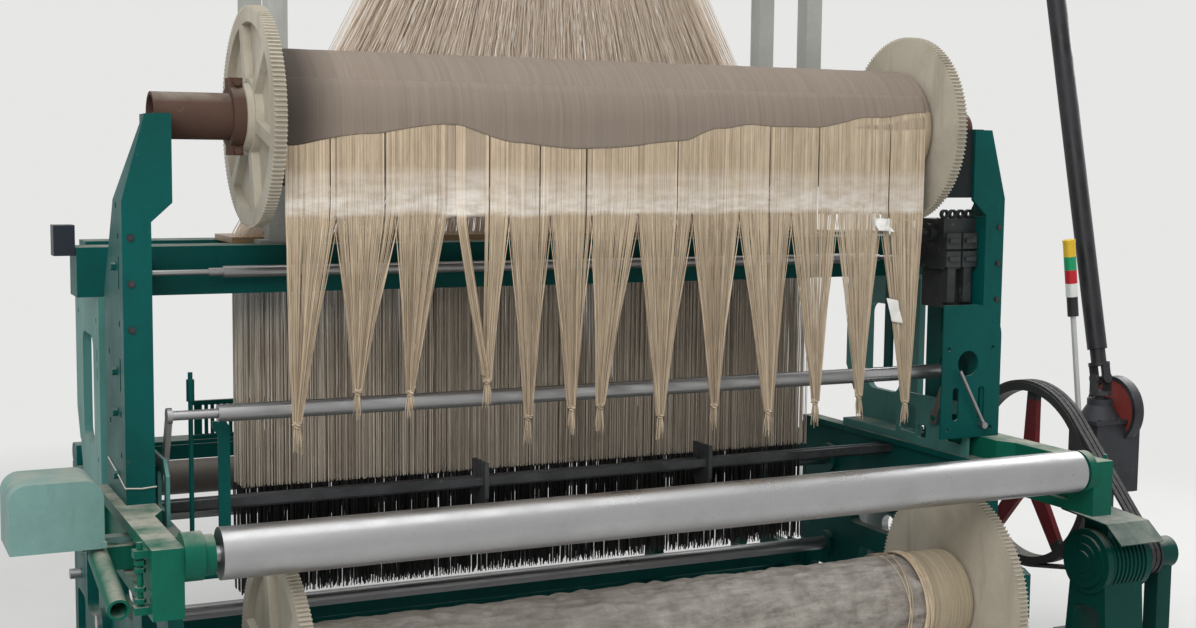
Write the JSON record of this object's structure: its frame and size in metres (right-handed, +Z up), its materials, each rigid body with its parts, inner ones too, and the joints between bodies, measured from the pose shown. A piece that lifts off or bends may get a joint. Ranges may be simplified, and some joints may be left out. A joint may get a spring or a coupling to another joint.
{
  "type": "power loom",
  "caption": "Two-beam terry power loom with an overhead harness machine: toothed warp beams, polished back rest roller, harness cords, crank-driven sley and a motor drive.",
  "frame": {"origin": "on the floor, at the middle of the four floor bolts", "axes": "+X along the beams to the drive side, +Y towards the cloth side, +Z up"},
  "size_m": [4.01, 2.1429, 3.415],
  "materials": {
    "green_paint": "dark green gloss paint over castings, worn at edges",
    "light_green_paint": "pale teal paint",
    "cream_paint": "cream paint, rubbed and dusty",
    "polished_steel": "polished and turned steel",
    "dark_steel": "oiled dark cast iron",
    "red_primer": "brown-red primer",
    "wheel_red": "dark red paint",
    "warp_yarn": "undyed cotton yarn",
    "harness_yarn": "linen harness cords and heald wires",
    "weight_black": "blackened wire weights",
    "board_wood": "varnished beech",
    "belt_rubber": "black rubber",
    "lamp_plastic": "coloured lamp segments",
    "roller_cover": "ribbed roller cover"
  },
  "bodies": {
    "root": {"left_side_frame": "green_paint", "right_side_frame": "green_paint", "upper_side_plates": "green_paint", "rear_top_rail": "green_paint", "front_top_rail": "green_paint", "cross_ties": "green_paint", "left_beam_stand": "green_paint", "right_beam_stand": "green_paint", "beam_saddles": "green_paint", "back_roller_arms": "green_paint", "roller_bearings": "cream_paint", "lower_beam_brackets": "green_paint", "hanging_warp_ends": "warp_yarn", "upper_let_off_box": "dark_steel", "lower_let_off_box": "green_paint", "tube_brackets": "green_paint", "drop_wire_bars": "dark_steel", "drop_bar_stands": "dark_steel", "comber_board": "board_wood", "cord_fan": "warp_yarn", "harness_curtain": "harness_yarn", "harness_weights": "weight_black", "gantry_posts": "light_green_paint", "gantry_beams": "light_green_paint", "harness_machine": "green_paint", "head_gearbox": "green_paint", "bevel_gearbox": "dark_steel", "motor": "green_paint", "drive_belts": "belt_rubber", "breast_beam": "green_paint", "signal_lamp": "lamp_plastic", "side_cover": "light_green_paint"},
    "upper_beam": {"upper_beam_tube": "red_primer", "upper_beam_collars": "red_primer", "upper_left_flange": "cream_paint", "upper_right_flange": "cream_paint", "upper_warp_package": "warp_yarn"},
    "upper_pinion": {"upper_let_off_pinion": "dark_steel"},
    "lower_beam": {"lower_beam_barrel": "polished_steel", "lower_left_flange": "cream_paint", "lower_right_flange": "cream_paint", "lower_warp_package": "warp_yarn"},
    "lower_pinion": {"lower_let_off_pinion": "dark_steel"},
    "back_roller": {"back_rest_roller": "polished_steel"},
    "guide_roller": {"guide_tube": "polished_steel"},
    "tension_lever": {"tension_tube": "polished_steel"},
    "drive": {"drive_shaft": "polished_steel", "driving_wheel": "wheel_red"},
    "idler": {"idler_gear": "dark_steel"},
    "crank": {"crankshaft": "polished_steel"},
    "rods": {"crank_arms": "dark_steel"},
    "bottom": {"bottom_shaft": "polished_steel"},
    "pulley": {"motor_pulley": "dark_steel"},
    "low_yoke": {"lower_yoke": "dark_steel"},
    "inclined_shaft": {"machine_drive_shaft": "dark_steel"},
    "top_yoke": {"upper_yoke": "dark_steel"},
    "cross_shaft": {"head_cross_shaft": "polished_steel"},
    "sley_body": {"sley": "green_paint"},
    "take_up": {"take_up_roller": "roller_cover"},
    "cloth_roll": {"cloth_roller": "polished_steel"}
  },
  "joints": [
    {"name": "upper_beam_spin", "type": "hinge", "parent": "root", "child": "upper_beam", "pos_m": [0.03, -0.45, 1.878], "axis": [1, 0, 0], "continuous": true},
    {"name": "upper_pinion_spin", "type": "hinge", "parent": "root", "child": "upper_pinion", "pos_m": [1.2, -0.45, 1.53992], "axis": [1, 0, 0], "continuous": true},
    {"name": "lower_beam_spin", "type": "hinge", "parent": "root", "child": "lower_beam", "pos_m": [0.03, -0.808, 0.409], "axis": [1, 0, 0], "continuous": true},
    {"name": "lower_pinion_spin", "type": "hinge", "parent": "root", "child": "lower_pinion", "pos_m": [1.2, -0.41779, 0.409], "axis": [1, 0, 0], "continuous": true},
    {"name": "back_roller_spin", "type": "hinge", "parent": "root", "child": "back_roller", "pos_m": [0, -1.045, 0.828], "axis": [1, 0, 0], "continuous": true},
    {"name": "guide_tube_spin", "type": "hinge", "parent": "root", "child": "guide_roller", "pos_m": [0, -0.2, 1.44], "axis": [1, 0, 0], "continuous": true},
    {"name": "tension_swing", "type": "hinge", "parent": "root", "child": "tension_lever", "pos_m": [0, -0.4, 0.9], "axis": [1, 0, 0], "range_deg": [-12, 12], "stiffness_Nm_per_rad": 4000},
    {"name": "drive_spin", "type": "hinge", "parent": "root", "child": "drive", "pos_m": [1.8, -0.29, 0.65], "axis": [1, 0, 0], "continuous": true},
    {"name": "idler_spin", "type": "hinge", "parent": "root", "child": "idler", "pos_m": [1.48, -0.02, 0.65], "axis": [1, 0, 0], "continuous": true},
    {"name": "crank_spin", "type": "hinge", "parent": "root", "child": "crank", "pos_m": [0, 0.25, 0.65], "axis": [1, 0, 0], "continuous": true},
    {"name": "crank_arm_turn", "type": "hinge", "parent": "crank", "child": "rods", "pos_m": [0, 0.18, 0.65], "axis": [1, 0, 0], "continuous": true},
    {"name": "bottom_spin", "type": "hinge", "parent": "root", "child": "bottom", "pos_m": [0, 0.25, 0.32], "axis": [1, 0, 0], "continuous": true},
    {"name": "pulley_spin", "type": "hinge", "parent": "root", "child": "pulley", "pos_m": [1.82, -0.85, 0.475], "axis": [1, 0, 0], "continuous": true},
    {"name": "lower_yoke_spin", "type": "hinge", "parent": "root", "child": "low_yoke", "pos_m": [2.14, -0.29, 0.93], "axis": [0, 0, 1], "continuous": true},
    {"name": "inclined_shaft_spin", "type": "hinge", "parent": "root", "child": "inclined_shaft", "pos_m": [2.14, -0.29, 0.98], "axis": [0, 0.2215, 0.9752], "continuous": true},
    {"name": "upper_yoke_spin", "type": "hinge", "parent": "root", "child": "top_yoke", "pos_m": [2.14, 0.12, 2.8], "axis": [0, 0, 1], "continuous": true},
    {"name": "cross_shaft_spin", "type": "hinge", "parent": "root", "child": "cross_shaft", "pos_m": [1, 0.17, 2.94], "axis": [1, 0, 0], "continuous": true},
    {"name": "sley_swing", "type": "hinge", "parent": "root", "child": "sley_body", "pos_m": [0, 0.6, 0.14], "axis": [-1, 0, 0], "range_deg": [0, 16]},
    {"name": "take_up_spin", "type": "hinge", "parent": "root", "child": "take_up", "pos_m": [0, 0.85, 0.64], "axis": [1, 0, 0], "continuous": true},
    {"name": "cloth_roller_spin", "type": "hinge", "parent": "root", "child": "cloth_roll", "pos_m": [0, 0.85, 0.33], "axis": [1, 0, 0], "continuous": true}
  ],
  "couplings": [
    {"joint": "upper_pinion_spin", "follows": "upper_beam_spin", "ratio": -7.2},
    {"joint": "lower_pinion_spin", "follows": "lower_beam_spin", "ratio": -8},
    {"joint": "idler_spin", "follows": "drive_spin", "ratio": -0.6875},
    {"joint": "crank_spin", "follows": "drive_spin", "ratio": 1},
    {"joint": "crank_arm_turn", "follows": "drive_spin", "ratio": -1},
    {"joint": "bottom_spin", "follows": "drive_spin", "ratio": -0.5},
    {"joint": "pulley_spin", "follows": "drive_spin", "ratio": 5.8929},
    {"joint": "lower_yoke_spin", "follows": "drive_spin", "ratio": 1},
    {"joint": "inclined_shaft_spin", "follows": "drive_spin", "ratio": 1},
    {"joint": "upper_yoke_spin", "follows": "drive_spin", "ratio": 1},
    {"joint": "cross_shaft_spin", "follows": "drive_spin", "ratio": 1}
  ]
}
